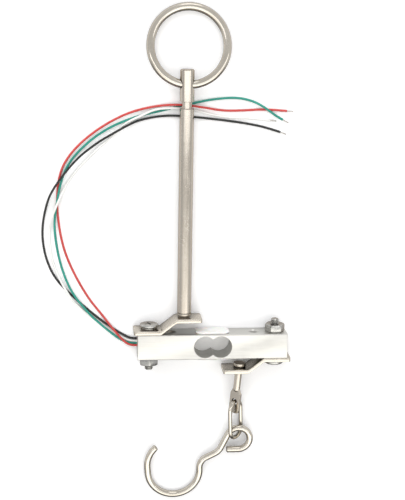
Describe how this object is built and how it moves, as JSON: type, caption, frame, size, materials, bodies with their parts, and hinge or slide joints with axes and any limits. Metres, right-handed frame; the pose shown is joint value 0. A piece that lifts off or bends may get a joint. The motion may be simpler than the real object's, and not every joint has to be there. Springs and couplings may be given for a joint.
{
  "type": "bar load cell with suspension ring and hook",
  "caption": "Hanging-scale load cell: aluminium bar with overlapping bores between bent steel brackets, carrying a rod and ring above, a swivel pin, link and hook below, and loose wires.",
  "frame": {"origin": "middle of the bar's back face, which lies on the bench", "axes": "+X along the bar away from the wire end, +Y along the suspension rod towards the ring, +Z out of the bench"},
  "size_m": [0.1241, 0.2524, 0.0127],
  "materials": {
    "machined_aluminium": "fine milled",
    "plated_strip": "nickel-plated pressed strip",
    "plated_fastener": "nickel-plated",
    "turned_nickel": "turned and nickel-plated",
    "bright_wire": "plated drawn wire",
    "white_sealant": "satin silicone",
    "gauge_film": "amber film",
    "red_insulation": "satin",
    "green_insulation": "satin",
    "white_insulation": "satin",
    "black_insulation": "satin",
    "tinned_copper": "tinned"
  },
  "bodies": {
    "load_cell": {"load_cell_bar": "machined_aluminium", "wire_channel_potting": "white_sealant", "gauge_cover_top": "white_sealant", "gauge_cover_bottom": "white_sealant", "strain_gauge_top_left": "gauge_film", "strain_gauge_top_right": "gauge_film", "strain_gauge_bottom_left": "gauge_film", "strain_gauge_bottom_right": "gauge_film", "upper_bracket": "plated_strip", "upper_bracket_screw": "plated_fastener", "upper_bracket_nut": "plated_fastener", "lower_bracket": "plated_strip", "lower_bracket_screw": "plated_fastener", "lower_bracket_nut": "plated_fastener", "suspension_rod": "turned_nickel", "wire_red": "red_insulation", "wire_green": "green_insulation", "wire_white": "white_insulation", "wire_black": "black_insulation", "wire_tip_red": "tinned_copper", "wire_tip_green": "tinned_copper", "wire_tip_white": "tinned_copper", "wire_tip_black": "tinned_copper"},
    "ring": {"hanging_ring": "bright_wire"},
    "swivel": {"swivel_pin": "turned_nickel"},
    "link": {"chain_link": "bright_wire"},
    "load_hook": {"hook": "bright_wire"}
  },
  "joints": [
    {"name": "ring_swing", "type": "hinge", "parent": "load_cell", "child": "ring", "pos_m": [-0.01421, 0.12965, 0.00635], "axis": [1, 0, 0], "range_deg": [-105, 165]},
    {"name": "pin_swivel", "type": "hinge", "parent": "load_cell", "child": "swivel", "pos_m": [0.01421, -0.01235, 0.00635], "axis": [-0.0906, -0.9959, 0], "continuous": true},
    {"name": "link_swing", "type": "hinge", "parent": "swivel", "child": "link", "pos_m": [0.01252, -0.03087, 0.00635], "axis": [-0.7063, -0.1118, 0.699], "range_deg": [-55, 75]},
    {"name": "hook_swing", "type": "hinge", "parent": "link", "child": "load_hook", "pos_m": [0.01484, -0.05193, 0.00405], "axis": [0, -0.0762, 0.9971], "range_deg": [-20, 120]}
  ]
}
